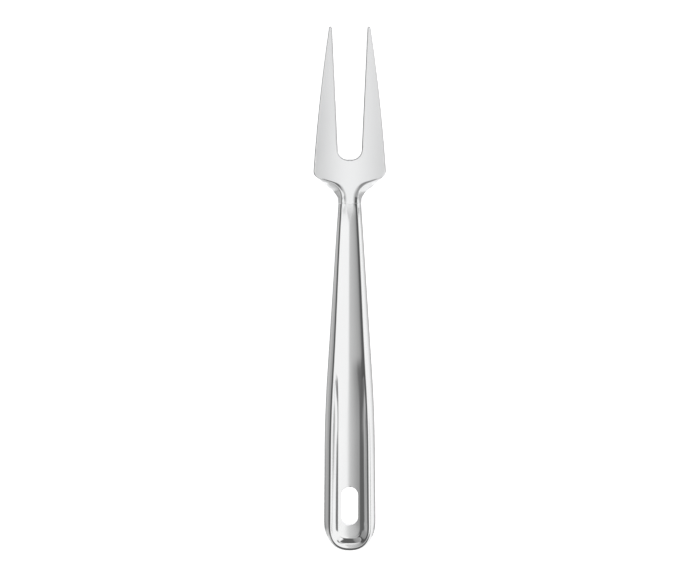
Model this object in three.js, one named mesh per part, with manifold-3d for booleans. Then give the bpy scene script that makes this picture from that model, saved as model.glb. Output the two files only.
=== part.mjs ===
import * as THREE from 'three';
import { mergeVertices } from 'three/addons/utils/BufferGeometryUtils.js';
import Module from 'manifold-3d';

const wasm = await Module();
wasm.setup();

const { lerp, smoothstep, degToRad } = THREE.MathUtils;

// Sheet and fits, in millimetres
const plateThickness = 1.8;
const shellThickness = 0.9;
const clearance = 0.3;

// Plan of the fork head: x across, y from the handle end to the tine tips
const headWidth = 41.4;
const headLength = 99.5;
const slotDepth = 76.6;
const slotRootWidth = 13.2;
const slotTipWidth = 19.8;
const slotCornerRadius = 5.8;
const tineTipWidth = 2.2;
const tineBow = 0.8;
const shoulderRadius = 3.7;
const shoulderAngle = degToRad(18);
const throatRadius = 10;
const tongueWidth = 5.8;
const edgeBreak = 0.25;

// Tang inside the handle
const tangWidth = 5.2;
const tangLength = 72;
const joggleLength = 4;

// Plan of the handle, whose length is to the neck; the head's throat lies a little past it
const handleLength = 198.2;
const throatRise = 2.3;
const neckWidth = 13.3;
const flareRadius = 11;
const flareAngle = degToRad(53);
const gripLength = 79.2;
const gripWidth = 28.6;
const endWidth = 29.8;
const endRound = 17.3;
const endSquareness = 2.7;
const gripEase = 1.2;
const hornTipWidth = 0.8;

// Section of the front shell: a trough with a deeper panel along the grip, a crest and a falling rim
const throatDepth = 1.2;
const throatEaseLength = 12;
const crestEase = 0.6;
const crestFadeLength = 15;
const rimShare = 0.7;
const rimGrip = 3.6;
const rimEnd = 1.8;
const rimEaseLength = 70;
const rimTilt = degToRad(33);
const rimFillet = 0.6;
const panelFloorWidth = 14.6;
const panelDish = 2.1;
const panelCornerEase = 0.6;
const panelFadeStart = 130;
const panelFadeEnd = 70;
const footInset = 0.2;

// Hang hole, measured from the handle end
const holeWidth = 9.5;
const holeLength = 22;
const holeFromEnd = 25.5;

// Side view: a straight grip end, an arched handle and a head that dips past the neck
const straightEnd = 48;
const archAngle = degToRad(12);
const neckBend = degToRad(7);
const neckBendLength = 9;

// Facets
const outlineSegments = 10;
const floorSegments = 4;
const wallSegments = 5;
const rimSegments = 3;
const filletSegments = 2;
const fanSegments = 20;
const neckStep = 1.3;
const handleStep = 6;
const tangSegments = 24;
const hornSearchSteps = 60;
const weldDistance = 1e-4;
const leastArea = 1e-7;

// Stations along the fork
const forkLength = handleLength + throatRise + headLength;
const yTip = forkLength / 2;
const yEnd = -yTip;
const yThroat = yTip - headLength;
const yTongueTip = yThroat - tongueWidth / 2;
const yNeck = yEnd + handleLength;
const yGrip = yEnd + gripLength;
const yEndCentre = yEnd + endRound;
const yArchStart = yEnd + straightEnd;
const yBendTop = yTongueTip - clearance;
const yBendFoot = yBendTop - neckBendLength;
const yTangEnd = yTongueTip - tangLength;

// Levels below the crest of the handle
const tangTop = -(throatDepth + shellThickness + clearance);
const backInner = tangTop - plateThickness - clearance;
const backOuter = backInner - shellThickness;
const panelDepth = -backInner - clearance - shellThickness;
const headUnderside = -(throatDepth + plateThickness);
const rimFoot = backOuter + footInset;

// Slope of the crest line along y: straight end, arch, neck bend, straight head
const bends = [
  { from: yArchStart, to: yBendFoot, drop: Math.tan(archAngle) },
  { from: yBendFoot, to: yBendTop, drop: Math.tan(neckBend) },
];

function fallSlope(y) {
  return bends.reduce((sum, { from, to, drop }) => {
    const share = THREE.MathUtils.clamp((y - from) / (to - from), 0, 1);
    return sum - drop * share;
  }, 0);
}

function fallHeight(y) {
  return bends.reduce((sum, { from, to, drop }) => {
    const length = to - from;
    const inside = THREE.MathUtils.clamp(y - from, 0, length);
    const beyond = Math.max(y - to, 0);
    return sum - drop * (inside ** 2 / (2 * length) + beyond);
  }, 0);
}

// The fork lies level when the foot of the rim at the handle end and the tine tips are equally low
const levelSlope = (rimFoot - headUnderside - fallHeight(yTip)) / forkLength;

// Carries a point from the straightened fork, h above the crest line, onto the arched one
function arched(x, y, h) {
  const angle = Math.atan(levelSlope + fallSlope(y));
  const height = levelSlope * (y - yEnd) + fallHeight(y);
  return new THREE.Vector3(x, y - h * Math.sin(angle), height + h * Math.cos(angle));
}

function archGeometry(geometry) {
  const place = geometry.getAttribute('position');
  for (let i = 0; i < place.count; i += 1) {
    const point = arched(place.getX(i), place.getY(i), place.getZ(i));
    place.setXYZ(i, point.x, point.y, point.z);
  }
  return geometry;
}

function toSolid(geometry) {
  const bare = geometry.clone();
  bare.deleteAttribute('normal');
  bare.deleteAttribute('uv');
  const merged = mergeVertices(bare, weldDistance);
  return new wasm.Manifold(new wasm.Mesh({
    numProp: 3,
    vertProperties: Float32Array.from(merged.getAttribute('position').array),
    triVerts: Uint32Array.from(merged.getIndex().array),
  }));
}

function toGeometry(solid) {
  const mesh = solid.getMesh();
  const geometry = new THREE.BufferGeometry();
  geometry.setAttribute('position', new THREE.BufferAttribute(mesh.vertProperties, 3));
  geometry.setIndex(new THREE.BufferAttribute(mesh.triVerts, 1));
  geometry.computeVertexNormals();
  return geometry;
}

// Half width of an edge that leaves a straight side at yStart on an arc and runs on as a straight line
function flare(y, half, yStart, radius, angle) {
  const rise = y - yStart;
  const arcRise = radius * Math.sin(angle);
  if (rise <= 0) return half;
  if (rise < arcRise) return half + radius - Math.sqrt(radius ** 2 - rise ** 2);
  return half + radius * (1 - Math.cos(angle)) + (rise - arcRise) * Math.tan(angle);
}

function softMin(a, b, ease) {
  const overlap = Math.max(ease - Math.abs(a - b), 0);
  return Math.min(a, b) - overlap ** 2 / (4 * ease);
}

// Lower edge of the fork head, from the tongue out to the shoulder
function throatEdge(y) {
  return flare(y, tongueWidth / 2, yThroat, throatRadius, Math.PI / 2 - shoulderAngle);
}

// Outline of the handle, from the horns on the shoulders down to the round end
function sideEdge(y) {
  if (y > yNeck) return flare(y, neckWidth / 2, yNeck, flareRadius, flareAngle);
  const taper = lerp(neckWidth, gripWidth, (yNeck - y) / (yNeck - yGrip)) / 2;
  const grip = lerp(gripWidth, endWidth, (yGrip - y) / (yGrip - yEndCentre)) / 2;
  return softMin(taper, grip, gripEase);
}

function endReach(angle) {
  const across = Math.abs(Math.cos(angle)) / sideEdge(yEndCentre);
  const along = Math.abs(Math.sin(angle)) / endRound;
  return (across ** endSquareness + along ** endSquareness) ** (-1 / endSquareness);
}

// Station near the shoulder where a horn of the shell has narrowed to its tip
function hornStation() {
  let low = yThroat;
  let high = yTip;
  for (let i = 0; i < hornSearchSteps; i += 1) {
    const y = (low + high) / 2;
    if (sideEdge(y) - throatEdge(y) > hornTipWidth) low = y;
    else high = y;
  }
  return low;
}

const yHorn = hornStation();

// What the front shell's section is made from at a station: half widths and levels
function shellSection(y) {
  const side = sideEdge(y);
  const seat = throatEdge(y);
  const rimNeck = rimShare * (neckWidth - tongueWidth) / 2;
  const rimAlong = lerp(rimGrip, rimNeck, smoothstep(y, yNeck - rimEaseLength, yNeck));
  const rim = y > yNeck ? rimShare * (side - seat) : rimAlong;
  const panel = 1 - smoothstep(y, yEnd + panelFadeEnd, yEnd + panelFadeStart);
  return {
    side,
    crest: side - rim,
    flat: seat * smoothstep(y, yTongueTip - throatEaseLength, yTongueTip),
    corner: panelFloorWidth / 2,
    wallRise: panel * (panelDepth - panelDish),
    floorLevel: -lerp(throatDepth, panelDepth, panel),
    crestLevel: -throatDepth * smoothstep(y, yNeck - crestFadeLength, yHorn),
    foot: lerp(rimFoot, headUnderside, smoothstep(y, yNeck, yHorn)),
  };
}

// The same section along a ray of the round end
function endSection(angle) {
  const side = endReach(angle);
  const flank = shellSection(yEndCentre);
  return {
    ...flank,
    side,
    crest: side - lerp(rimGrip, rimEnd, Math.sin(angle) ** 2),
    corner: side - flank.side + flank.corner,
  };
}

// Height that a straight wall has climbed, where its lower corner is eased
function easedRun(run, ease) {
  if (Math.abs(run) < ease) return (run + ease) ** 2 / (4 * ease);
  return Math.max(run, 0);
}

// Level of the shell's face: a trough that climbs to the crest, then the rim that falls away
function shellLevel({ crest, flat, corner, wallRise, floorLevel, crestLevel }, x) {
  const troughRise = crestLevel - floorLevel - wallRise;
  const wallRun = Math.max(crest - corner, shellThickness);
  const trough = troughRise * (Math.max(x - flat, 0) / (crest - flat)) ** 2;
  const wall = wallRise * easedRun(x - corner, panelCornerEase) / wallRun;
  const rim = crestLevel - (x - crest) * Math.tan(rimTilt);
  return softMin(floorLevel + trough + wall, rim, crestEase);
}

// Even steps from one value up to, and not including, another
function spread(from, to, count) {
  return Array.from({ length: count }, (_, i) => lerp(from, to, i / count));
}

// Points from the middle of the section out to the foot of the rim, on the face and on the underside
function shellRay(section) {
  const { side, crest, foot } = section;
  const fillet = Math.min(rimFillet, (side - crest) / 2);
  const brow = side - fillet * (1 - Math.sin(rimTilt));
  const inside = side - Math.min(shellThickness, (side - crest) / 2);
  const bend = Math.max(Math.min(section.corner, crest - shellThickness), crest / 2);
  const across = [
    ...spread(0, bend, floorSegments),
    ...spread(bend, crest, wallSegments),
    ...spread(crest, brow, rimSegments),
    brow,
  ];
  const face = across.map((x) => [x, shellLevel(section, x)]);
  const underside = across.map((x) => {
    const below = x * inside / brow;
    return [below, shellLevel(section, below) - shellThickness];
  });
  const browLevel = shellLevel(section, brow);
  const innerLevel = shellLevel(section, inside) - shellThickness;
  for (let i = 1; i <= filletSegments; i += 1) {
    const turn = lerp(rimTilt, Math.PI / 2, i / filletSegments);
    const along = side - fillet * (1 - Math.sin(turn));
    face.push([along, browLevel - fillet * (Math.cos(rimTilt) - Math.cos(turn))]);
    underside.push([inside, lerp(innerLevel, foot, i / (filletSegments + 1))]);
  }
  face.push([side, foot]);
  underside.push([inside, foot]);
  return { face, underside };
}

function backRay(reach) {
  return { face: [[0, backInner], [reach, backInner]], underside: [[0, backOuter], [reach, backOuter]] };
}

function stationsFrom(yTop) {
  const yFine = yBendFoot;
  const fineCount = Math.max(Math.ceil((yTop - yFine) / neckStep), 1);
  const coarseCount = Math.ceil((yFine - yEndCentre) / handleStep);
  const fine = spread(yTop, yFine, fineCount);
  const coarse = spread(yFine, yEndCentre, coarseCount);
  return [...fine, ...coarse, yEndCentre];
}

// Sweeps a half section down the left side, round the end and up the right side into one closed sheet
function sweepRoundEnd(yTop, sideRay, endRay) {
  const stations = stationsFrom(yTop);
  const rays = [];
  const addRay = ({ face, underside }, cosine, sine, y) => {
    const carry = ([reach, h]) => arched(reach * cosine, y + reach * sine, h);
    rays.push({ face: face.map(carry), underside: underside.map(carry) });
  };
  stations.forEach((y) => addRay(sideRay(y), -1, 0, y));
  for (let i = 1; i < fanSegments; i += 1) {
    const angle = Math.PI * (1 + i / fanSegments);
    addRay(endRay(angle), Math.cos(angle), Math.sin(angle), yEndCentre);
  }
  stations.slice().reverse().forEach((y) => addRay(sideRay(y), 1, 0, y));

  const corners = [];
  const triangle = (a, b, c) => {
    const area = new THREE.Triangle(a, b, c).getArea();
    if (area > leastArea) corners.push(a, b, c);
  };
  const quad = (a, b, c, d) => {
    triangle(a, b, c);
    triangle(a, c, d);
  };
  const last = rays[0].face.length - 1;
  for (let i = 0; i + 1 < rays.length; i += 1) {
    const [here, next] = [rays[i], rays[i + 1]];
    for (let j = 0; j < last; j += 1) {
      quad(here.face[j], here.face[j + 1], next.face[j + 1], next.face[j]);
      quad(here.underside[j], next.underside[j], next.underside[j + 1], here.underside[j + 1]);
    }
    quad(here.face[last], here.underside[last], next.underside[last], next.face[last]);
  }
  const [first, final] = [rays[0], rays[rays.length - 1]];
  for (let j = 0; j < last; j += 1) {
    quad(first.face[j], first.underside[j], first.underside[j + 1], first.face[j + 1]);
    quad(final.face[j], final.face[j + 1], final.underside[j + 1], final.underside[j]);
  }
  return new THREE.BufferGeometry().setFromPoints(corners);
}

// Right half of the head's plan below the shoulder, from the tongue tip outwards
function traceThroat(path, grow) {
  const half = tongueWidth / 2 + grow;
  const radius = throatRadius - grow;
  path.moveTo(0, yThroat - half);
  path.absarc(0, yThroat, half, -Math.PI / 2, 0, false);
  path.absarc(tongueWidth / 2 + throatRadius, yThroat, radius, Math.PI, Math.PI / 2 + shoulderAngle, true);
}

function mirrored(path) {
  const right = path.getPoints(outlineSegments);
  const offAxis = right.filter(({ x }) => x > weldDistance).reverse();
  const left = offAxis.map(({ x, y }) => new THREE.Vector2(-x, y));
  return new THREE.Shape([...right, ...left]);
}

function headShape() {
  const path = new THREE.Path();
  const headHalf = headWidth / 2;
  const tipRadius = tineTipWidth / 2;
  const yTipCentre = yTip - tipRadius;
  const yCorner = yTip - slotDepth + slotCornerRadius;
  const spread = Math.atan((slotTipWidth - slotRootWidth) / 2 / (yTipCentre - yCorner));
  traceThroat(path, 0);
  const line = path.currentPoint.clone();
  const shoulderX = headHalf - shoulderRadius;
  const tangentX = shoulderX + shoulderRadius * Math.sin(shoulderAngle);
  const tangentY = line.y + (tangentX - line.x) * Math.tan(shoulderAngle);
  const shoulderY = tangentY + shoulderRadius * Math.cos(shoulderAngle);
  path.absarc(shoulderX, shoulderY, shoulderRadius, shoulderAngle - Math.PI / 2, 0, false);
  const tineX = slotTipWidth / 2 + tipRadius;
  const outer = new THREE.Vector2(tineX + tipRadius, yTipCentre);
  const root = path.currentPoint.clone();
  const chord = outer.clone().sub(root);
  const bow = new THREE.Vector2(chord.y, -chord.x).setLength(2 * tineBow);
  const control = root.clone().add(outer).multiplyScalar(0.5).add(bow);
  path.quadraticCurveTo(control.x, control.y, outer.x, outer.y);
  path.absarc(tineX, yTipCentre, tipRadius, 0, Math.PI - spread, false);
  path.absarc(slotRootWidth / 2 - slotCornerRadius, yCorner, slotCornerRadius, -spread, -Math.PI / 2, true);
  path.lineTo(0, yCorner - slotCornerRadius);
  return mirrored(path);
}

function mouthShape() {
  const path = new THREE.Path();
  traceThroat(path, clearance);
  const line = path.currentPoint.clone();
  const reach = headWidth;
  path.lineTo(reach, line.y + (reach - line.x) * Math.tan(shoulderAngle));
  path.lineTo(reach, yTip);
  path.lineTo(0, yTip);
  return mirrored(path);
}

// A prism over a plan, between two levels of the straightened fork
function prism(shape, foot, top) {
  const geometry = new THREE.ExtrudeGeometry(shape, { depth: top - foot, bevelEnabled: false });
  return archGeometry(geometry.translate(0, 0, foot));
}

const throughFoot = backOuter - plateThickness;
const throughTop = plateThickness;

function hangHole() {
  const half = holeWidth / 2;
  const straight = (holeLength - holeWidth) / 2;
  const y = yEnd + holeFromEnd;
  const shape = new THREE.Shape();
  shape.absarc(0, y + straight, half, 0, Math.PI, false);
  shape.absarc(0, y - straight, half, Math.PI, 2 * Math.PI, false);
  return toSolid(prism(shape, throughFoot, throughTop));
}

// The tang steps down under the front shell and lies between it and the back plate
function tang() {
  const overlap = joggleLength * 2;
  const geometry = new THREE.BoxGeometry(tangWidth, tangLength + overlap, 1, 1, tangSegments, 1);
  geometry.translate(0, (yTangEnd + yTongueTip + overlap) / 2, 0);
  const place = geometry.getAttribute('position');
  for (let i = 0; i < place.count; i += 1) {
    const onTop = place.getZ(i) > 0;
    const inside = edgeBreak * (onTop ? -1 : 1);
    const low = onTop ? tangTop : tangTop - plateThickness;
    const high = (onTop ? -throatDepth : headUnderside) + inside;
    const joggle = smoothstep(place.getY(i), yTongueTip, yTongueTip + joggleLength);
    place.setZ(i, lerp(low, high, joggle));
  }
  return toSolid(archGeometry(geometry));
}

function forkHead() {
  const geometry = new THREE.ExtrudeGeometry(headShape(), {
    depth: plateThickness - 2 * edgeBreak,
    curveSegments: outlineSegments,
    bevelSize: edgeBreak,
    bevelThickness: edgeBreak,
    bevelOffset: -edgeBreak,
    bevelSegments: 1,
  });
  geometry.translate(0, 0, headUnderside + edgeBreak);
  return toGeometry(toSolid(archGeometry(geometry)).add(tang()));
}

function handleFrontShell() {
  const sheet = sweepRoundEnd(
    yHorn,
    (y) => shellRay(shellSection(y)),
    (angle) => shellRay(endSection(angle)),
  );
  const mouth = toSolid(prism(mouthShape(), throughFoot, throughTop));
  return toGeometry(toSolid(sheet).subtract(mouth).subtract(hangHole()));
}

function handleBackPlate() {
  const inset = shellThickness + clearance;
  const sheet = sweepRoundEnd(
    yThroat,
    (y) => backRay(sideEdge(y) - inset),
    (angle) => backRay(endReach(angle) - inset),
  );
  return toGeometry(toSolid(sheet).subtract(hangHole()));
}

const satinSteel = new THREE.MeshStandardMaterial({ color: 0xd9dadb, roughness: 0.32, metalness: 1 });
const polishedSteel = new THREE.MeshStandardMaterial({ color: 0xdcdddd, roughness: 0.16, metalness: 1 });
const plainSteel = new THREE.MeshStandardMaterial({ color: 0xcfd0d1, roughness: 0.28, metalness: 1 });

function piece(name, geometry, material) {
  const mesh = new THREE.Mesh(geometry, material);
  mesh.name = name;
  return mesh;
}

const fork = new THREE.Group();
fork.add(
  piece('fork_head', forkHead(), satinSteel),
  piece('handle_front_shell', handleFrontShell(), polishedSteel),
  piece('handle_back_plate', handleBackPlate(), plainSteel),
);

// The origin is under the middle of the fork, on the surface that it lies on
const box = new THREE.Box3().setFromObject(fork);
const middle = box.getCenter(new THREE.Vector3());
fork.position.set(-middle.x, -middle.y, -box.min.z);

export default fork;
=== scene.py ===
import math
import bpy
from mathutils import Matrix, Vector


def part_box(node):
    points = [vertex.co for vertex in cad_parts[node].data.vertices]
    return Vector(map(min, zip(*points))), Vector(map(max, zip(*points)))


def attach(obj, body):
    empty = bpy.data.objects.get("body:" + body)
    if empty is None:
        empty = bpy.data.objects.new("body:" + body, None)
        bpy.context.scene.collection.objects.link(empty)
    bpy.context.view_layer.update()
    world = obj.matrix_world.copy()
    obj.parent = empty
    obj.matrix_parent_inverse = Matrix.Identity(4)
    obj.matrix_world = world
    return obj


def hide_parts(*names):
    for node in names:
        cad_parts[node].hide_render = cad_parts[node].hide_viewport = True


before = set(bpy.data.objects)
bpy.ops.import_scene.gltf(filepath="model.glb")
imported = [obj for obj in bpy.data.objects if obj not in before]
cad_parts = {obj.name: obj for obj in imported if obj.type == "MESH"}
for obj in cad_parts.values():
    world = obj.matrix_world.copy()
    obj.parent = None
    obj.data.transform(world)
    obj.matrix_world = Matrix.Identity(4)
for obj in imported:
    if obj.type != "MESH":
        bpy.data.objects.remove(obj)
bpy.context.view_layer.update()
print("frame loaded:", sorted(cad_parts))

mm = 0.001


def tan(degrees):
    return math.tan(math.radians(degrees))


def sin(degrees):
    return math.sin(math.radians(degrees))


def cos(degrees):
    return math.cos(math.radians(degrees))


# the side view that all three pieces follow, sizes in mm
line = {
    "handleLength": 198.2,
    "throatRise": 2.3,
    "headLength": 99.5,
    "tongueWidth": 5.8,
    "straightEnd": 48.0,
    "archDegrees": 12.0,
    "neckBendDegrees": 7.0,
    "neckBendLength": 9.0,
    "seamGap": 0.3,
    "throatDepth": 1.2,       # crest of the handle down to the head's face
    "plateThickness": 1.8,
    "sheetThickness": 0.9,
    "footInset": 0.2,
    "edgeBreak": 0.25,
    "headWidth": 41.4,
    "throatRadius": 10.0,
    "shoulderDegrees": 18.0,
    "dish": 0.9,              # how far the head's sides rise above its middle
    "dishFade": 12.0,         # it begins this far below the throat
}
yTip = (line["handleLength"] + line["throatRise"] + line["headLength"]) / 2
yEnd = -yTip
yThroat = yTip - line["headLength"]
yTongueTip = yThroat - line["tongueWidth"] / 2
yNeck = yEnd + line["handleLength"]
yBendTop = yTongueTip - line["seamGap"]

# levels below the crest
tangTop = -(line["throatDepth"] + line["sheetThickness"] + line["seamGap"])
backInner = tangTop - line["plateThickness"] - line["seamGap"]
backOuter = backInner - line["sheetThickness"]
headUnderside = -(line["throatDepth"] + line["plateThickness"])
rimFoot = backOuter + line["footInset"]

bends = [
    (yEnd + line["straightEnd"], yBendTop - line["neckBendLength"], tan(line["archDegrees"])),
    (yBendTop - line["neckBendLength"], yBendTop, tan(line["neckBendDegrees"])),
]


def clamp(value, low=0.0, high=1.0):
    return max(low, min(high, value))


def lerp(a, b, share):
    return a + (b - a) * share


def smoothStep(value, low, high):
    t = clamp((value - low) / (high - low))
    return t * t * (3 - 2 * t)


def softMin(a, b, ease):
    overlap = max(ease - abs(a - b), 0)
    return min(a, b) - overlap ** 2 / (4 * ease)


def fallSlope(y):
    return -sum(drop * clamp((y - start) / (stop - start)) for start, stop, drop in bends)


def fallHeight(y):
    height = 0
    for start, stop, drop in bends:
        inside = clamp(y - start, 0, stop - start)
        height -= drop * (inside ** 2 / (2 * (stop - start)) + max(y - stop, 0))
    return height


levelSlope = (rimFoot - headUnderside - fallHeight(yTip)) / (2 * yTip)


def archedRaw(x, y, h):
    angle = math.atan(levelSlope + fallSlope(y))
    height = levelSlope * (y - yEnd) + fallHeight(y)
    return x, y - h * math.sin(angle), height + h * math.cos(angle)


# the frame says where the arched line lies
tipFront = archedRaw(0, yTip, -line["throatDepth"] - line["edgeBreak"])[1]
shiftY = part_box("fork_head")[1].y / mm - tipFront
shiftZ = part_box("handle_front_shell")[0].z / mm - archedRaw(0, yEnd, rimFoot)[2]


def arched(x, y, h):
    rawX, rawY, rawZ = archedRaw(x, y, h)
    return (rawX * mm, (rawY + shiftY) * mm, (rawZ + shiftZ) * mm)


def flare(y, half, yStart, radius, degrees):
    rise = y - yStart
    arcRise = radius * sin(degrees)
    if rise <= 0:
        return half
    if rise < arcRise:
        return half + radius - math.sqrt(radius ** 2 - rise ** 2)
    return half + radius * (1 - cos(degrees)) + (rise - arcRise) * tan(degrees)


def throatEdge(y, grow=0.0):
    return flare(y, line["tongueWidth"] / 2 + grow, yThroat, line["throatRadius"] - grow,
                 90 - line["shoulderDegrees"])


def dishLift(x, y):
    fade = smoothStep(y, yThroat - line["dishFade"], yThroat)
    return line["dish"] * (2 * x / line["headWidth"]) ** 2 * fade


def stepsBetween(start, stop, count):
    return [lerp(start, stop, i / count) for i in range(count)]


def arcPoints(centreX, centreY, radius, start, stop, count):
    turns = [math.radians(lerp(start, stop, i / count)) for i in range(count + 1)]
    return [(centreX + radius * math.cos(t), centreY + radius * math.sin(t)) for t in turns]


def clearSelection():
    if bpy.context.mode != "OBJECT":
        bpy.ops.object.mode_set(mode="OBJECT")
    bpy.ops.object.select_all(action="DESELECT")


def applyModifier(piece, kind, **settings):
    modifier = piece.modifiers.new(kind.lower(), kind)
    for key, value in settings.items():
        setattr(modifier, key, value)
    bpy.context.view_layer.objects.active = piece
    bpy.ops.object.modifier_apply(modifier=modifier.name)


# materials
noiseLow, noiseHigh = 0.3, 0.7    # most of a noise lies between these


# mix nodes have several sockets of one name, so theirs are picked by identifier
def pick(sockets, identifier):
    return next(socket for socket in sockets if socket.identifier == identifier)


def mathNode(tree, operation, *values):
    node = tree.nodes.new("ShaderNodeMath")
    node.operation = operation
    for socket, value in zip(node.inputs, values):
        if isinstance(value, float):
            socket.default_value = value
        else:
            tree.links.new(value, socket)
    return node.outputs["Value"]


def steelNodes(name, look):
    material = bpy.data.materials.new(name)
    material.use_nodes = True
    nodes, links = material.node_tree.nodes, material.node_tree.links
    shader = nodes["Principled BSDF"]
    shader.inputs["Metallic"].default_value = 1.0
    place = nodes.new("ShaderNodeTexCoord")

    # polishing lines run along the fork
    stretch = nodes.new("ShaderNodeMapping")
    stretch.inputs["Scale"].default_value = look["lineScale"]
    lines = nodes.new("ShaderNodeTexNoise")
    lines.inputs["Scale"].default_value = 1.0
    lines.inputs["Detail"].default_value = 3.0
    lines.inputs["Roughness"].default_value = 0.6
    links.new(place.outputs["Object"], stretch.inputs["Vector"])
    links.new(stretch.outputs["Vector"], lines.inputs["Vector"])

    # wide soft clouds from handling and buffing
    clouds = nodes.new("ShaderNodeTexNoise")
    clouds.inputs["Scale"].default_value = look["cloudScale"]
    clouds.inputs["Detail"].default_value = 4.0
    links.new(place.outputs["Object"], clouds.inputs["Vector"])

    tone = nodes.new("ShaderNodeValToRGB")
    dark, pale = tone.color_ramp.elements
    dark.position, pale.position = noiseLow, noiseHigh
    dark.color = (*look["darkTone"], 1)
    pale.color = (*look["paleTone"], 1)
    links.new(clouds.outputs["Fac"], tone.inputs["Fac"])

    both = mathNode(material.node_tree, "MULTIPLY_ADD",
                    lines.outputs["Fac"], look["lineShare"], clouds.outputs["Fac"])
    gloss = nodes.new("ShaderNodeMapRange")
    gloss.inputs["From Min"].default_value = noiseLow * (1 + look["lineShare"])
    gloss.inputs["From Max"].default_value = noiseHigh * (1 + look["lineShare"])
    gloss.inputs["To Min"].default_value = look["roughness"][0]
    gloss.inputs["To Max"].default_value = look["roughness"][1]
    links.new(both, gloss.inputs["Value"])

    # the satin of the head runs on a little way down the throat
    if "satinFrom" in look:
        split = nodes.new("ShaderNodeSeparateXYZ")
        links.new(place.outputs["Object"], split.inputs["Vector"])
        satin = nodes.new("ShaderNodeMapRange")
        satin.interpolation_type = "SMOOTHSTEP"
        satin.inputs["From Min"].default_value = look["satinFrom"] * mm
        satin.inputs["From Max"].default_value = look["satinFull"] * mm
        links.new(split.outputs["Y"], satin.inputs["Value"])
        satinTone = nodes.new("ShaderNodeMix")
        satinTone.data_type = "RGBA"
        pick(satinTone.inputs, "B_Color").default_value = (*look["satinTone"], 1)
        links.new(satin.outputs["Result"], pick(satinTone.inputs, "Factor_Float"))
        links.new(tone.outputs["Color"], pick(satinTone.inputs, "A_Color"))
        links.new(pick(satinTone.outputs, "Result_Color"), shader.inputs["Base Color"])
        satinGloss = nodes.new("ShaderNodeMix")
        pick(satinGloss.inputs, "B_Float").default_value = look["satinRoughness"]
        links.new(satin.outputs["Result"], pick(satinGloss.inputs, "Factor_Float"))
        links.new(gloss.outputs["Result"], pick(satinGloss.inputs, "A_Float"))
        links.new(pick(satinGloss.outputs, "Result_Float"), shader.inputs["Roughness"])
    else:
        links.new(tone.outputs["Color"], shader.inputs["Base Color"])
        links.new(gloss.outputs["Result"], shader.inputs["Roughness"])

    bump = nodes.new("ShaderNodeBump")
    bump.inputs["Strength"].default_value = look["bumpStrength"]
    bump.inputs["Distance"].default_value = look["bumpDistance"]
    links.new(lines.outputs["Fac"], bump.inputs["Height"])
    links.new(bump.outputs["Normal"], shader.inputs["Normal"])
    return material


satinLook = {
    "darkTone": (0.85, 0.855, 0.86), "paleTone": (0.88, 0.885, 0.89),
    "roughness": (0.11, 0.16),
    "lineScale": (5200, 90, 5200), "lineShare": 0.6, "cloudScale": 55,
    "bumpStrength": 0.12, "bumpDistance": 0.00002,
}
satinSteel = steelNodes("satinSteel", satinLook)

polishedLook = {
    "darkTone": (0.885, 0.888, 0.89), "paleTone": (0.905, 0.908, 0.91),
    "roughness": (0.07, 0.11),
    "lineScale": (4200, 60, 4200), "lineShare": 0.4, "cloudScale": 40,
    "bumpStrength": 0.03, "bumpDistance": 0.00001,
    "satinFrom": 33.0, "satinFull": 45.0,
    "satinTone": (0.866, 0.871, 0.876), "satinRoughness": 0.135,
}
polishedSteel = steelNodes("polishedSteel", polishedLook)

plainLook = {
    "darkTone": (0.78, 0.785, 0.79), "paleTone": (0.82, 0.825, 0.83),
    "roughness": (0.24, 0.34),
    "lineScale": (3600, 70, 3600), "lineShare": 0.8, "cloudScale": 45,
    "bumpStrength": 0.16, "bumpDistance": 0.00002,
}
plainSteel = steelNodes("plainSteel", plainLook)
print("materials ready")

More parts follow.
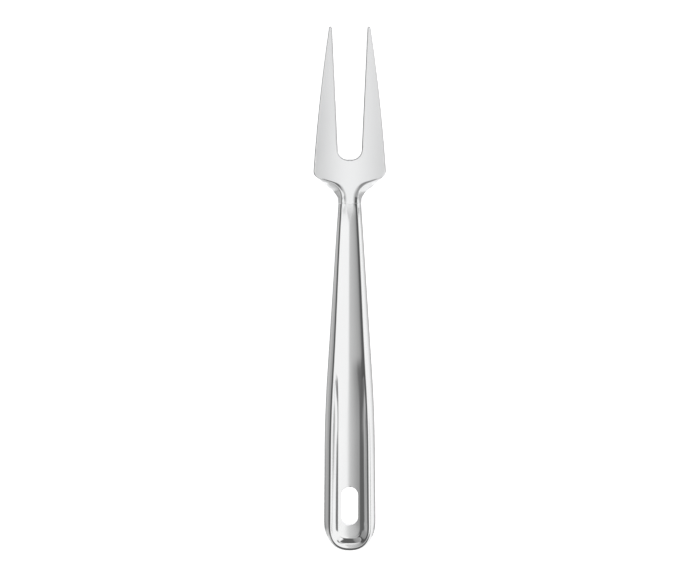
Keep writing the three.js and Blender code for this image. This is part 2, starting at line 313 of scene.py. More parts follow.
# handle front shell: pressed sheet with a trough, a crest and a rim
shell = {
    "neckWidth": 13.3,
    "flareRadius": 11.0,
    "flareDegrees": 53.0,
    "gripLength": 79.2,
    "gripWidth": 28.6,
    "gripEase": 1.2,
    "endWidth": 29.8,
    "endRound": 17.25,
    "endSquareness": 2.7,
    "hornTipWidth": 0.5,
    "throatEaseLength": 12.0,
    "throatRun": 1.8,         # from the flat of the head up to the crest
    "throatDip": 0.15,        # the trough lies a little lower than the head's face
    "dipFade": (-7.0, 2.0),   # this, throatFade and hornFade are counted from the throat
    "throatFade": (-5.0, 0.5),
    "throatDegrees": 30.0,    # even curve of the trough at the throat, along the handle and at the grip
    "troughDegrees": 11.0,
    "gripDegrees": 8.0,
    "lipDegrees": 5.0,        # how much it steepens close to the crest
    "crestFlat": (1.0, 0.85),  # half of the crest's width, grip and neck
    "hornCrestShare": 0.35,   # and at most this share of what the rim leaves along the shoulders
    "leastNarrowing": 0.15,   # there the crest and the throat's rise keep at least this share
    "crestDegrees": 20.0,     # how far both its sides tilt
    "crestEase": 0.45,        # shares of that half width, on top and at both feet
    "crestFootEase": 0.15,
    "hornDegrees": 18.0,      # tilt of the trough and the crest along the shoulders
    "hornFade": (-1.0, 6.0),
    "rimShare": (0.64, 0.78),  # of the sheet's width beside the head, neck and shoulders
    "rimGrip": 3.9,
    "rimEnd": 1.8,
    "rimEaseLength": 105.0,
    "rimDegrees": 34.5,
    "rimNeckDegrees": 38.0,
    "rimEndDegrees": 28.0,
    "browDegrees": 43.0,      # the rim steepens towards its edge
    "hornRimDegrees": 8.5,    # more tilt of both along the shoulders
    "hornBrowDegrees": 7.5,
    "browPower": (1.5, 1.0),  # grip, neck
    "rimFillet": 0.6,
    "panelFloorWidth": 14.6,
    "panelCornerEase": 0.6,
    "panelFacet": 2.0,        # a narrow slope between the panel's floor and its wall
    "panelFacetShare": 0.6,
    "panelDepth": 2.95,
    "endFloor": 10.4,         # the panel floor ends this far past the centre of the round end
    "endFloorSquareness": 3.7,
    "endCornerEase": 0.4,
    "endTrough": 0.3,
    "endRimPower": 2,         # how late the round end changes the rim and the wall
    "endStepPower": 3,
    "panelFadeStart": 114.0,
    "panelFadeEnd": 70.0,
    "holeWidth": 9.5,
    "holeLength": 22.0,
    "holeFromEnd": 25.5,
    "holeEdgeRound": 0.3,
    "holeWindow": (6.0, 8.0),  # edges this near the hole's middle line are its own
    "throatSeam": 0.02,       # the tongue closes up against the shell
    "smoothDegrees": 40.0,
    # the grid of points that the sheet is laid over
    "stationStep": 0.7,
    "hornStep": 0.35,
    "tongueSteps": 14,
    "holeSteps": 16,
    "fanSteps": 72,
    "bendBand": 1.2,          # points lie closer together this far on both sides of a bend
    "cornerBand": 0.25,       # shares of the way from the inner edge to the crest
    "cornerRange": (0.3, 0.7),
    "floorSteps": 10,
    "cornerSteps": 8,
    "wallSteps": 5,
    "crestSteps": 20,
    "rimSteps": 6,
    "filletSteps": 6,
    "footSteps": 2,
}
yEndCentre = yEnd + shell["endRound"]
yGrip = yEnd + shell["gripLength"]
holeRadius = shell["holeWidth"] / 2
yHoleTop = yEnd + shell["holeFromEnd"] + (shell["holeLength"] - shell["holeWidth"]) / 2
yHoleLow = yHoleTop - (shell["holeLength"] - shell["holeWidth"])


def sideEdge(y):
    if y > yNeck:
        return flare(y, shell["neckWidth"] / 2, yNeck, shell["flareRadius"], shell["flareDegrees"])
    taper = lerp(shell["neckWidth"], shell["gripWidth"], (yNeck - y) / (yNeck - yGrip)) / 2
    grip = lerp(shell["gripWidth"], shell["endWidth"], (yGrip - y) / (yGrip - yEndCentre)) / 2
    return softMin(taper, grip, shell["gripEase"])


def endReach(angle):
    return squareReach(angle, sideEdge(yEndCentre), shell["endRound"], shell["endSquareness"])


# where the sheet beside the head has narrowed to the horn's tip
def hornStation():
    low, high = yThroat, yTip
    for _ in range(60):
        y = (low + high) / 2
        if sideEdge(y) - throatEdge(y) > shell["hornTipWidth"]:
            low = y
        else:
            high = y
    return low


yHorn = hornStation()


# what is left of a slope along x where the horns run slantwise
def slantShare(y):
    outer = math.asin(clamp((y - yNeck) / shell["flareRadius"], 0, sin(shell["flareDegrees"])))
    inner = math.asin(clamp((y - yThroat) / line["throatRadius"], 0, cos(line["shoulderDegrees"])))
    halfway = lerp(outer, inner, 0.5)
    return math.cos(halfway)


def fadeAtThroat(y, name):
    below, above = shell[name]
    return smoothStep(y, yThroat + below, yThroat + above)


def shellSection(y):
    side, seat, slant = sideEdge(y), throatEdge(y), slantShare(y)
    towardsNeck = clamp((y - yGrip) / (yNeck - yGrip))
    neckGap = (shell["neckWidth"] - line["tongueWidth"]) / 2
    horn = fadeAtThroat(y, "hornFade")
    rimShare = lerp(*shell["rimShare"], horn)
    rim = lerp(shell["rimGrip"], rimShare * neckGap, smoothStep(y, yNeck - shell["rimEaseLength"], yNeck))
    crestFlat = lerp(*shell["crestFlat"], towardsNeck)
    narrowing = 1.0
    if y > yNeck:
        rim = rimShare * (side - seat)
        narrowing = clamp((side - seat) * slant / neckGap, shell["leastNarrowing"])
        crestFlat = min(crestFlat * narrowing, shell["hornCrestShare"] * (side - seat - rim))
    crest = side - rim
    edge = crest - crestFlat
    throat = smoothStep(y, yTongueTip - shell["throatEaseLength"], yTongueTip)
    flat = (edge - shell["throatRun"] * narrowing / slant) * throat
    panel = 1 - smoothStep(y, yEnd + shell["panelFadeEnd"], yEnd + shell["panelFadeStart"])
    dip = shell["throatDip"] * (1 - fadeAtThroat(y, "dipFade"))
    floorLevel = -lerp(line["throatDepth"] + dip, shell["panelDepth"], panel)
    bulge = fadeAtThroat(y, "throatFade")
    throatDegrees = lerp(shell["throatDegrees"], shell["hornDegrees"], horn)
    curve = tan(lerp(lerp(shell["troughDegrees"], throatDegrees, bulge), shell["gripDegrees"], panel))
    lip = tan(shell["lipDegrees"]) * (1 - bulge) * (1 - panel)
    # a square and a fifth power curve of these heights end at those slopes
    bowlRise, lipRise = curve / 2, lip / 5
    troughRise = (edge - flat) * slant * (bowlRise + lipRise)
    crestSlope = slant * tan(lerp(shell["crestDegrees"], shell["hornDegrees"], horn))
    crestRise = crestFlat * crestSlope
    wallRise = panel * (shell["panelDepth"] - troughRise - crestRise)
    flared = clamp((y - yNeck) / (shell["flareRadius"] * sin(shell["flareDegrees"])))
    rimTilt = lerp(shell["rimDegrees"], shell["rimNeckDegrees"], towardsNeck)
    return {
        "side": side,
        "crest": crest,
        "crestFlat": crestFlat,
        "edge": edge,
        "flat": flat,
        "slant": slant,
        "corner": shell["panelFloorWidth"] / 2,
        "wallRun": max(edge - shell["panelFloorWidth"] / 2, line["sheetThickness"]),
        "stepShare": 0.0,
        "wallRise": wallRise,
        "troughRise": troughRise,
        "lipShare": lipRise / (bowlRise + lipRise),
        "rimTilt": rimTilt + flared * shell["hornRimDegrees"],
        "browTilt": shell["browDegrees"] + flared * shell["hornBrowDegrees"],
        "floorLevel": floorLevel,
        "crestRise": crestRise,
        "crestSlope": crestSlope,
        "browPower": lerp(*shell["browPower"], towardsNeck),
        "foot": lerp(rimFoot, headUnderside, smoothStep(y, yNeck, yHorn)),
    }


def squareReach(angle, across, along, power):
    share = abs(math.cos(angle) / across) ** power + abs(math.sin(angle) / along) ** power
    return share ** (-1 / power)


def endSection(angle):
    flank = shellSection(yEndCentre)
    side = endReach(angle)
    turned = math.sin(angle) ** 2    # 0 at both sides, 1 at the very end
    rimTurned = turned ** shell["endRimPower"]
    crest = side - lerp(shell["rimGrip"], shell["rimEnd"], rimTurned)
    edge = crest - flank["crestFlat"]
    corner = squareReach(angle, flank["corner"], shell["endFloor"], shell["endFloorSquareness"])
    troughRise = flank["troughRise"] * lerp(1, shell["endTrough"], turned)
    return {
        **flank,
        "side": side,
        "crest": crest,
        "edge": edge,
        "corner": corner,
        "wallRun": edge - corner,
        "stepShare": turned ** shell["endStepPower"],
        "wallRise": shell["panelDepth"] - troughRise - flank["crestRise"],
        "troughRise": troughRise,
        "rimTilt": lerp(flank["rimTilt"], shell["rimEndDegrees"], rimTurned),
    }


def troughLift(section, x):
    share = max(x - section["flat"], 0) / (section["edge"] - section["flat"])
    return section["troughRise"] * lerp(share ** 2, share ** 5, section["lipShare"])


# the head's face joins the rise to the crest
def throatLift(x, y):
    if y > yHorn:
        return 0
    return troughLift(shellSection(y), abs(x))


def easedRun(run, ease):
    return (run + ease) ** 2 / (4 * ease) if abs(run) < ease else max(run, 0)


def browEdge(section):
    fillet = min(shell["rimFillet"], (section["side"] - section["crest"]) * section["slant"] / 2)
    return fillet, section["side"] - fillet * (1 - sin(section["browTilt"])) / section["slant"]


def troughLevel(section, x):
    run = x - section["corner"]
    facet, share = shell["panelFacet"] / 2, shell["panelFacetShare"]
    climb = share * easedRun(run + facet, shell["panelCornerEase"])
    climb += (1 - share) * easedRun(run - facet, shell["panelCornerEase"])
    climb /= section["wallRun"] + (2 * share - 1) * facet
    # at the end the wall is steep at the floor and rounds off towards the crest
    step = 1 - (1 - clamp(easedRun(run, shell["endCornerEase"]) / section["wallRun"])) ** 2
    wall = section["wallRise"] * lerp(climb, step, section["stepShare"])
    return section["floorLevel"] + troughLift(section, x) + wall


# the trough, then bend by bend over the crest and down the rim
def shellLevel(section, x):
    crest, edge = section["crest"], section["edge"]
    half, roof = section["crestFlat"], section["crestSlope"]
    ease, footEase = shell["crestEase"] * half, shell["crestFootEase"] * half
    # how steep the trough is where the crest begins
    probe = 0.1 * half
    lean = (troughLevel(section, edge) - troughLevel(section, edge - probe)) / probe
    rim = tan(section["rimTilt"]) * section["slant"]
    level = troughLevel(section, min(x, edge)) + lean * max(x - edge, 0)
    level -= (lean - roof) * easedRun(x - edge, footEase)
    level -= 2 * roof * easedRun(x - crest, ease)
    level -= (rim - roof) * easedRun(x - crest - half, footEase)
    run, width = max(x - crest - half, 0), browEdge(section)[1] - crest - half
    power = section["browPower"]
    steepening = tan(section["browTilt"]) - tan(section["rimTilt"])
    return level - steepening * section["slant"] * width * (run / width) ** (power + 1) / (power + 1)


# points along one ray, from the inner edge out over the crest and down the rim
def shellRay(section, start):
    side, crest, foot = section["side"], section["crest"], section["foot"]
    tilt, band = section["browTilt"], shell["bendBand"]
    fillet, brow = browEdge(section)
    inside = side - min(line["sheetThickness"] / section["slant"], (side - crest) / 2)
    crestIn = crest - min(band, (crest - start) / 2)
    crestOut = crest + min(band, (brow - crest) / 2)
    cornerLow, cornerHigh = (lerp(start, crestIn, share) for share in shell["cornerRange"])
    corner = clamp(section["corner"], cornerLow, cornerHigh)
    cornerHalf = min(band, shell["cornerBand"] * (crestIn - start))
    across = stepsBetween(start, corner - cornerHalf, shell["floorSteps"])
    across += stepsBetween(corner - cornerHalf, corner + cornerHalf, shell["cornerSteps"])
    across += stepsBetween(corner + cornerHalf, crestIn, shell["wallSteps"])
    across += stepsBetween(crestIn, crestOut, shell["crestSteps"])
    across += stepsBetween(crestOut, brow, shell["rimSteps"]) + [brow]
    face = [(x, shellLevel(section, x)) for x in across]
    below = [lerp(start, inside, (x - start) / (brow - start)) for x in across]
    under = [(x, shellLevel(section, x) - line["sheetThickness"]) for x in below]
    browLevel, innerLevel = face[-1][1], under[-1][1]
    filletSteps, footSteps = shell["filletSteps"], shell["footSteps"]
    downSteps = filletSteps + footSteps
    for i in range(1, filletSteps + 1):
        turn = lerp(tilt, 90, i / filletSteps)
        face.append((side - fillet * (1 - sin(turn)) / section["slant"],
                     browLevel - fillet * (cos(tilt) - cos(turn))))
    wallTop = face[-1][1]
    for i in range(1, footSteps + 1):
        face.append((side, lerp(wallTop, foot, i / footSteps)))
    for i in range(1, downSteps + 1):
        under.append((inside, lerp(innerLevel, foot, i / downSteps)))
    return face, under


def mouthStart(y):
    half = line["tongueWidth"] / 2 + shell["throatSeam"]
    if y >= yThroat:
        return throatEdge(y, shell["throatSeam"])
    return math.sqrt(max(half ** 2 - (yThroat - y) ** 2, 0))


def holeStart(y):
    outside = max(y - yHoleTop, yHoleLow - y, 0)
    return math.sqrt(max(holeRadius ** 2 - outside ** 2, 0))


def holeStartAlong(angle):
    lift = (yHoleLow - yEndCentre) * math.sin(angle)
    return lift + math.sqrt(lift ** 2 - (yHoleLow - yEndCentre) ** 2 + holeRadius ** 2)


def handleStations(yTop):
    tongueHalf = line["tongueWidth"] / 2 + shell["throatSeam"]
    tongueSteps, holeSteps = shell["tongueSteps"], shell["holeSteps"]
    stations = []
    if yTop > yThroat:
        stations += stepsBetween(yTop, yThroat, max(round((yTop - yThroat) / shell["hornStep"]), 1))
    for i in range(tongueSteps + 1):
        stations.append(yThroat - tongueHalf * math.sin(math.pi / 2 * i / tongueSteps))
    last = stations[-1]
    crown = yHoleTop + holeRadius
    stations += stepsBetween(last, crown, round((last - crown) / shell["stationStep"]))[1:]
    for i in range(holeSteps + 1):
        stations.append(yHoleTop + holeRadius * math.cos(math.pi / 2 * i / holeSteps))
    last = stations[-1]
    stations += stepsBetween(last, yEndCentre, round((last - yEndCentre) / shell["stationStep"]))[1:]
    return stations + [yEndCentre]


# lays a flat grid over the rays, thickens it and closes the seam along the middle
def pressSheet(name, stations, sideRay, endRay):
    rays, fanCount = [], shell["fanSteps"]
    mergeGap = 1e-7

    def addRay(ray, cosine, sine, y):
        rays.append([[arched(r * cosine, y + r * sine, h) for r, h in points] for points in ray])

    for y in stations:
        addRay(sideRay(y), -1, 0, y)
    for i in range(1, fanCount):
        angle = math.pi * (1 + i / fanCount)
        addRay(endRay(angle), math.cos(angle), math.sin(angle), yEndCentre)
    for y in reversed(stations):
        addRay(sideRay(y), 1, 0, y)

    clearSelection()
    across = len(rays[0][0])
    bpy.ops.mesh.primitive_grid_add(x_subdivisions=across - 1, y_subdivisions=len(rays) - 1,
                                    size=line["handleLength"] * mm)
    sheet = bpy.context.active_object
    sheet.name = name
    faceSide = [point for face, _ in rays for point in face]
    underSide = [point for _, under in rays for point in under]
    for vert, point in zip(sheet.data.vertices, faceSide):
        vert.co = point
    applyModifier(sheet, "SOLIDIFY", thickness=line["sheetThickness"] * mm, offset=-1)
    for vert, point in zip(sheet.data.vertices, faceSide + underSide):
        vert.co = point

    bpy.ops.object.mode_set(mode="EDIT")
    bpy.ops.mesh.select_all(action="SELECT")
    bpy.ops.mesh.remove_doubles(threshold=mergeGap)
    bpy.ops.mesh.select_all(action="DESELECT")
    bpy.ops.object.mode_set(mode="OBJECT")
    for polygon in sheet.data.polygons:
        polygon.select = all(abs(sheet.data.vertices[i].co.x) < mergeGap for i in polygon.vertices)
    bpy.ops.object.mode_set(mode="EDIT")
    bpy.ops.mesh.delete(type="FACE")
    bpy.ops.object.mode_set(mode="OBJECT")
    return sheet


# rounds the folds of a sheet where they are chosen
def easeEdges(sheet, width, chosen):
    mesh = sheet.data
    foldAngle = math.radians(50)
    faceNormals = {}
    for polygon in mesh.polygons:
        for key in polygon.edge_keys:
            faceNormals.setdefault(key, []).append(polygon.normal)
    weights = mesh.attributes.new("bevel_weight_edge", "FLOAT", "EDGE")
    for edge in mesh.edges:
        normals = faceNormals.get(tuple(sorted(edge.vertices)), [])
        if len(normals) == 2 and normals[0].angle(normals[1], 0) > foldAngle:
            a, b = (mesh.vertices[i].co / mm for i in edge.vertices)
            if chosen((a + b) / 2):
                weights.data[edge.index].value = 1.0
    applyModifier(sheet, "BEVEL", width=width * mm, segments=3, limit_method="WEIGHT",
                  use_clamp_overlap=True)


def finishSheet(sheet, material):
    clearSelection()
    sheet.select_set(True)
    bpy.context.view_layer.objects.active = sheet
    bpy.ops.object.shade_smooth_by_angle(angle=math.radians(shell["smoothDegrees"]))
    sheet.data.materials.clear()
    sheet.data.materials.append(material)
    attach(sheet, "root")
    print(sheet.name, len(sheet.data.polygons), "faces")


def shellSideRay(y):
    start = mouthStart(y) if y > yHoleTop + holeRadius else holeStart(y)
    return [[(x, h + dishLift(x, y)) for x, h in points] for points in shellRay(shellSection(y), start)]


def shellEndRay(angle):
    return shellRay(endSection(angle), holeStartAlong(angle))


def byHole(place):
    across, along = shell["holeWindow"]
    return yHoleLow - along < place.y < yHoleTop + along and abs(place.x) < across


handleFrontShell = pressSheet("handleFrontShell", handleStations(yHorn), shellSideRay, shellEndRay)
easeEdges(handleFrontShell, shell["holeEdgeRound"], byHole)
finishSheet(handleFrontShell, polishedSteel)
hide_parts("handle_front_shell")

# handle back plate: flat sheet set inside the rim
backSizes = {"edgeGap": 0.06, "edgeRound": 0.25, "steps": 8}


def backRay(start, reach):
    across = stepsBetween(start, reach, backSizes["steps"]) + [reach]
    return [(x, backInner) for x in across], [(x, backOuter) for x in across]


backInset = line["sheetThickness"] + backSizes["edgeGap"]
handleBackPlate = pressSheet(
    "handleBackPlate", handleStations(yThroat),
    lambda y: backRay(holeStart(y), sideEdge(y) - backInset),
    lambda angle: backRay(holeStartAlong(angle), endReach(angle) - backInset))
easeEdges(handleBackPlate, backSizes["edgeRound"], lambda place: True)
finishSheet(handleBackPlate, plainSteel)
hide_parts("handle_back_plate")

# fork head: a flat plate, cut out, with eased edges and a tang inside the handle
headSizes = {
    "slotDepth": 76.6,
    "slotRootWidth": 13.2,
    "slotTipWidth": 19.8,
    "slotCornerRadius": 5.8,
    "tipWidth": 2.2,
    "tineBow": 0.8,
    "shoulderRadius": 3.7,
    "edgeRound": 0.8,
    "edgeFade": (-1.0, 2.0),  # it grows from none to full here, counted from the horns' tips
    "tangWidth": 5.2,
    "tangLength": 72.0,
    "joggleLength": 4.0,
    "mergeGap": 0.01,
    "tongueSteps": 16,        # points along the outline
    "throatSteps": 40,
    "shoulderSteps": 20,
    "sideSteps": 60,
    "tipSteps": 20,
    "slotSteps": 40,
    "cornerSteps": 24,
    "sliceWidth": 0.5,        # slices along the face, to both sides of the middle
    "sliceCount": 39,
    "throatSlices": 40,       # slices across it
    "rootSlices": 14,
    "rootReach": 32.0,
    "tangSlices": 60,
    "smoothDegrees": 32.0,
    "flatWeight": 80,
}


def headOutline():
    size = headSizes
    tongueHalf = line["tongueWidth"] / 2
    slant = line["shoulderDegrees"]
    tipRadius = size["tipWidth"] / 2
    yTipCentre = yTip - tipRadius
    yCorner = yTip - size["slotDepth"] + size["slotCornerRadius"]
    throatX = tongueHalf + line["throatRadius"]
    right = arcPoints(0, yThroat, tongueHalf, -90, 0, size["tongueSteps"])
    right += arcPoints(throatX, yThroat, line["throatRadius"], 180, 90 + slant, size["throatSteps"])
    lineX, lineY = right[-1]
    shoulderX = line["headWidth"] / 2 - size["shoulderRadius"]
    tangentX = shoulderX + size["shoulderRadius"] * sin(slant)
    tangentY = lineY + (tangentX - lineX) * tan(slant)
    shoulderY = tangentY + size["shoulderRadius"] * cos(slant)
    for x in stepsBetween(lineX, tangentX, size["shoulderSteps"]):
        right.append((x, lineY + (x - lineX) * tan(slant)))
    right += arcPoints(shoulderX, shoulderY, size["shoulderRadius"], slant - 90, 0, size["cornerSteps"])
    rootX, rootY = right[-1]
    tineX = size["slotTipWidth"] / 2 + tipRadius
    outerX = tineX + tipRadius
    runX, runY = outerX - rootX, yTipCentre - rootY
    run = math.hypot(runX, runY)
    bowX, bowY = runY / run * 2 * size["tineBow"], -runX / run * 2 * size["tineBow"]
    midX, midY = (rootX + outerX) / 2 + bowX, (rootY + yTipCentre) / 2 + bowY
    for t in stepsBetween(0, 1, size["sideSteps"]):
        a, b, c = (1 - t) ** 2, 2 * t * (1 - t), t * t
        right.append((a * rootX + b * midX + c * outerX, a * rootY + b * midY + c * yTipCentre))
    slotWiden = (size["slotTipWidth"] - size["slotRootWidth"]) / 2
    spread = math.degrees(math.atan(slotWiden / (yTipCentre - yCorner)))
    right += arcPoints(tineX, yTipCentre, tipRadius, 0, 180 - spread, size["tipSteps"])
    cornerX = size["slotRootWidth"] / 2 - size["slotCornerRadius"]
    innerX, innerY = right[-1]
    corner = arcPoints(cornerX, yCorner, size["slotCornerRadius"], -spread, -90, size["cornerSteps"])
    for t in stepsBetween(0, 1, size["slotSteps"]):
        right.append((lerp(innerX, corner[0][0], t), lerp(innerY, corner[0][1], t)))
    right += corner
    right.append((0, yCorner - size["slotCornerRadius"]))
    outline = []
    for x, y in right + [(-x, y) for x, y in reversed(right)]:
        if not outline or math.dist(outline[-1], (x, y)) > size["mergeGap"]:
            outline.append((x, y))
    if math.dist(outline[0], outline[-1]) < size["mergeGap"]:
        outline.pop()
    return outline


def cutAt(place, normal):
    bpy.ops.mesh.select_all(action="SELECT")
    bpy.ops.mesh.bisect(plane_co=place, plane_no=normal)


def makeForkHead():
    size = headSizes
    outline = headOutline()
    clearSelection()
    bpy.ops.mesh.primitive_circle_add(vertices=len(outline), radius=0.02, fill_type="NGON")
    head = bpy.context.active_object
    head.name = "forkHead"
    top = -line["throatDepth"]
    for vert, (x, y) in zip(head.data.vertices, outline):
        vert.co = (x * mm, y * mm, top * mm)
    bpy.ops.object.mode_set(mode="EDIT")
    bpy.ops.mesh.select_all(action="SELECT")
    bpy.ops.mesh.normals_make_consistent(inside=False)
    bpy.ops.object.mode_set(mode="OBJECT")
    if head.data.polygons[0].normal.z < 0:
        head.data.flip_normals()
    applyModifier(head, "SOLIDIFY", thickness=line["plateThickness"] * mm, offset=-1)

    # edges get a small round, none where the handle carries the face on
    weights = head.data.attributes.new("bevel_weight_edge", "FLOAT", "EDGE")
    below, above = size["edgeFade"]
    for edge in head.data.edges:
        a, b = (head.data.vertices[i].co / mm for i in edge.vertices)
        if abs(a.z - b.z) < size["mergeGap"]:
            weights.data[edge.index].value = smoothStep((a.y + b.y) / 2, yHorn + below, yHorn + above)
    applyModifier(head, "BEVEL", width=size["edgeRound"] * mm, segments=4, limit_method="WEIGHT",
                  use_clamp_overlap=False)

    # slices across and along the face let it take a shallow dish and rise to the handle's crest
    bpy.ops.object.mode_set(mode="EDIT")
    for i in range(-size["sliceCount"], size["sliceCount"] + 1):
        cutAt((i * size["sliceWidth"] * mm, 0, 0), (1, 0, 0))
    pastHorn = yHorn + 1
    slices = stepsBetween(yTongueTip, pastHorn, size["throatSlices"])
    slices += stepsBetween(pastHorn, yThroat + size["rootReach"], size["rootSlices"])
    for y in slices:
        cutAt((0, y * mm, 0), (0, 1, 0))
    bpy.ops.object.mode_set(mode="OBJECT")
    for vert in head.data.vertices:
        x, y, h = vert.co / mm
        vert.co = arched(x, y, h + dishLift(x, y) + throatLift(x, y))

    # the tang steps down and runs on between the two sheets of the handle
    overlap = 2 * size["joggleLength"]
    tangRun = size["tangLength"] + overlap
    tangMiddle = yTongueTip + overlap - tangRun / 2
    clearSelection()
    bpy.ops.mesh.primitive_cube_add(size=1, location=(0, tangMiddle * mm, 0))
    tang = bpy.context.active_object
    tang.scale = (size["tangWidth"] * mm, tangRun * mm, mm)
    bpy.ops.object.transform_apply(location=True, rotation=True, scale=True)
    bpy.ops.object.mode_set(mode="EDIT")
    for i in range(1, size["tangSlices"]):
        y = tangMiddle + tangRun * (i / size["tangSlices"] - 0.5)
        cutAt((0, y * mm, 0), (0, 1, 0))
    bpy.ops.object.mode_set(mode="OBJECT")
    for vert in tang.data.vertices:
        x, y, h = vert.co / mm
        onTop = h > 0
        low = tangTop if onTop else tangTop - line["plateThickness"]
        high = (top - line["edgeBreak"]) if onTop else (headUnderside + line["edgeBreak"])
        joggle = smoothStep(y, yTongueTip, yTongueTip + size["joggleLength"])
        vert.co = arched(x, y, lerp(low, high, joggle))
    applyModifier(head, "BOOLEAN", object=tang, operation="UNION", solver="EXACT")
    bpy.data.objects.remove(tang)

    clearSelection()
    head.select_set(True)
    bpy.context.view_layer.objects.active = head
    bpy.ops.object.shade_smooth_by_angle(angle=math.radians(size["smoothDegrees"]))
    applyModifier(head, "WEIGHTED_NORMAL", keep_sharp=True, weight=size["flatWeight"])
    head.data.materials.clear()
    head.data.materials.append(satinSteel)
    return head


forkHead = makeForkHead()
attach(forkHead, "root")
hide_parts("fork_head")
print("fork head:", len(forkHead.data.polygons), "faces")

# studio: pale floor, a white room with grey and dark cards round the fork
studio = {
    "floorSize": 6.0,
    "floorDrop": 0.0001,
    "floorTone": 0.82,
    "floorGlow": 0.8,
    # cards by what sees them: bearing from straight up, towards +x, in degrees, and brightness
    "cards": {
        "handle": [(-90, 0.33), (-86, 0.38), (-84, 0.48), (-81, 0.56), (-77, 0.52), (-74, 0.42),
                   (-71, 0.34), (-56, 0.28), (-48, 0.08), (-28, 0.12), (-25, 0.28), (-21, 0.37),
                   (-12, 0.47), (0, 0.6), (2.5, 1.0), (75, 1.0), (79, 0.82), (83, 0.52), (90, 0.42)],
        # the left wall sees one dark card more
        "grip": [(-90, 0.2), (-85, 0.26), (-82, 0.36), (-79, 0.42), (-76, 0.45), (-73, 0.41),
                 (-70, 0.32), (-67, 0.2), (-64, 0.12), (-40, 0.13), (-14, 0.15), (-11, 0.3),
                 (-7, 0.38), (-3, 0.52), (0, 0.62), (2.5, 1.0), (45, 1.0), (48, 0.2), (60, 0.2),
                 (63, 1.0), (81, 1.0), (84, 0.46), (86, 0.32), (90, 0.3)],
        # the left side is paler
        "horns": [(-90, 0.62), (-80, 0.6), (-68, 0.56), (-65, 0.3), (-62, 0.12), (-40, 0.13),
                  (-14, 0.15), (-11, 0.3), (-7, 0.38), (-3, 0.52), (0, 0.62), (2.5, 1.0), (45, 1.0),
                  (48, 0.2), (60, 0.2), (63, 1.0), (82, 1.0), (86, 0.6), (90, 0.42)],
        # these two face away towards +y
        "head": [(-90, 0.5), (-70, 0.5), (-64, 0.3), (-58, 0.08), (-32, 0.08), (-26, 0.4),
                 (-18, 0.6), (-12, 0.7), (-7.5, 0.81), (-3, 0.99), (0, 1.06), (3, 0.98), (7.5, 0.72),
                 (12, 0.6), (18, 0.5), (24, 0.38), (29, 0.1), (41, 0.1), (45, 0.95), (60, 0.95),
                 (66, 0.12), (90, 0.12)],
        "tines": [(-90, 0.5), (-68, 0.5), (-26, 0.4), (-18, 0.6), (-12, 0.7), (-7.5, 0.81), (-3, 0.99),
                  (0, 1.06), (3, 0.98), (7.5, 0.72), (12, 0.6), (18, 0.62), (24, 0.8), (30, 0.95),
                  (66, 0.95), (72, 0.4), (90, 0.4)],
        # low towards -y and towards +y
        "endRim": [(-90, 0.95), (-84, 0.9), (-78, 0.62), (-56, 0.58), (-48, 0.4), (-42, 0.1),
                   (46, 0.1), (58, 1.0), (90, 1.0)],
        "endWall": [(-90, 0.45), (-30, 0.34), (-12, 0.28), (-6, 0.12), (26, 0.12), (34, 1.0), (90, 1.0)],
    },
    # share of y in the direction where each set begins and where it has taken over
    "turns": {
        "grip": (-0.18, -0.28),
        "horns": (-0.31, -0.37),
        "head": (0.22, 0.355),
        "tines": (0.39, 0.43),
        "endRim": (-0.43, -0.52),
        "endWall": (0.46, 0.54),
    },
}


def makeFloor():
    clearSelection()
    bpy.ops.mesh.primitive_plane_add(size=studio["floorSize"], location=(0, 0, -studio["floorDrop"]))
    floor = bpy.context.active_object
    floor.name = "floor"
    material = bpy.data.materials.new("paleFloor")
    material.use_nodes = True
    nodes, links = material.node_tree.nodes, material.node_tree.links
    shader = nodes["Principled BSDF"]
    shader.inputs["Base Color"].default_value = (studio["floorTone"],) * 3 + (1,)
    shader.inputs["Roughness"].default_value = 0.9
    shader.inputs["Specular IOR Level"].default_value = 0.0
    path, tree = nodes.new("ShaderNodeLightPath"), material.node_tree
    seen = mathNode(tree, "MAXIMUM", path.outputs["Is Camera Ray"], path.outputs["Is Glossy Ray"])
    seen = mathNode(tree, "MAXIMUM", seen, path.outputs["Is Transmission Ray"])
    glow = mathNode(tree, "MULTIPLY", seen, studio["floorGlow"])
    shader.inputs["Emission Color"].default_value = (1, 1, 1, 1)
    links.new(glow, shader.inputs["Emission Strength"])
    floor.data.materials.append(material)


def cardRamp(nodes, stops):
    ramp = nodes.new("ShaderNodeValToRGB")
    elements = ramp.color_ramp.elements
    elements.remove(elements[0])
    for i, (bearing, level) in enumerate(stops):
        share = (bearing + 90) / 180
        element = elements[0] if i == 0 else elements.new(share)
        element.position = share
        element.color = (level, level, level, 1)
    return ramp


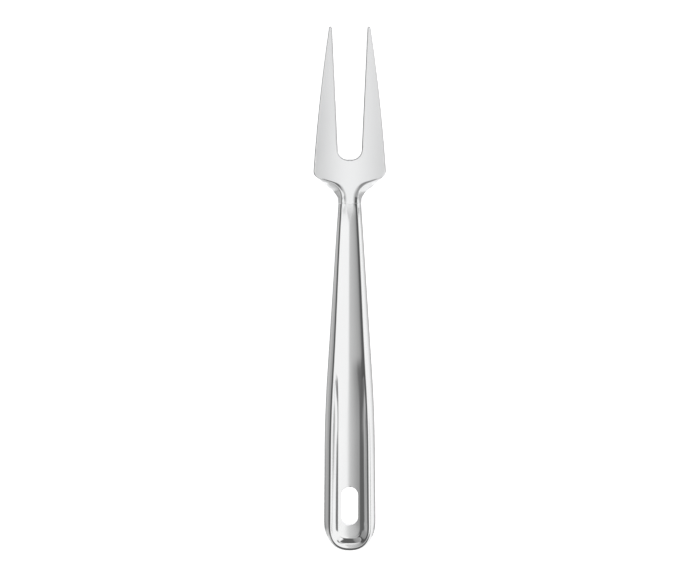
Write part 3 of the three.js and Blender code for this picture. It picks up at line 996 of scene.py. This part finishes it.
def makeRoom():
    world = bpy.data.worlds.new("studioRoom")
    bpy.context.scene.world = world
    world.use_nodes = True
    nodes, links = world.node_tree.nodes, world.node_tree.links
    direction = nodes.new("ShaderNodeTexCoord")
    split = nodes.new("ShaderNodeSeparateXYZ")
    links.new(direction.outputs["Generated"], split.inputs["Vector"])
    bearing = mathNode(world.node_tree, "ARCTAN2", split.outputs["X"], split.outputs["Z"])
    bearingShare = nodes.new("ShaderNodeMapRange")
    bearingShare.inputs["From Min"].default_value = -math.pi / 2
    bearingShare.inputs["From Max"].default_value = math.pi / 2
    links.new(bearing, bearingShare.inputs["Value"])

    def hangCards(name):
        ramp = cardRamp(nodes, studio["cards"][name])
        links.new(bearingShare.outputs["Result"], ramp.inputs["Fac"])
        return ramp.outputs["Color"]

    room = hangCards("handle")
    for name, (begin, full) in studio["turns"].items():
        towards = nodes.new("ShaderNodeMapRange")
        towards.interpolation_type = "SMOOTHSTEP"
        towards.inputs["From Min"].default_value = begin
        towards.inputs["From Max"].default_value = full
        links.new(split.outputs["Y"], towards.inputs["Value"])
        both = nodes.new("ShaderNodeMix")
        both.data_type = "RGBA"
        links.new(towards.outputs["Result"], pick(both.inputs, "Factor_Float"))
        links.new(room, pick(both.inputs, "A_Color"))
        links.new(hangCards(name), pick(both.inputs, "B_Color"))
        room = pick(both.outputs, "Result_Color")

    # the camera sees a plain white backdrop past the floor
    path = nodes.new("ShaderNodeLightPath")
    backdrop = nodes.new("ShaderNodeMix")
    backdrop.data_type = "RGBA"
    pick(backdrop.inputs, "B_Color").default_value = (1, 1, 1, 1)
    links.new(path.outputs["Is Camera Ray"], pick(backdrop.inputs, "Factor_Float"))
    links.new(room, pick(backdrop.inputs, "A_Color"))
    links.new(pick(backdrop.outputs, "Result_Color"), nodes["Background"].inputs["Color"])


makeFloor()
makeRoom()
print("studio ready")

# camera: straight above the middle of the fork
cameraSet = {
    "distance": 1.6,
    "lens": 145.0,
    "clipStart": 0.01,
    "lookHeight": 0.012,
    "shiftX": 0.00015,        # moves the camera itself, in metres
    "shiftY": -0.0007,
}
cameraData = bpy.data.cameras.new("topCamera")
cameraData.lens = cameraSet["lens"]
cameraData.clip_start = cameraSet["clipStart"]
topCamera = bpy.data.objects.new("topCamera", cameraData)
topCamera.location = (cameraSet["shiftX"], cameraSet["shiftY"],
                      cameraSet["lookHeight"] + cameraSet["distance"])
bpy.context.scene.collection.objects.link(topCamera)
bpy.context.scene.camera = topCamera
bpy.context.scene.view_settings.view_transform = "Standard"

print("finished")
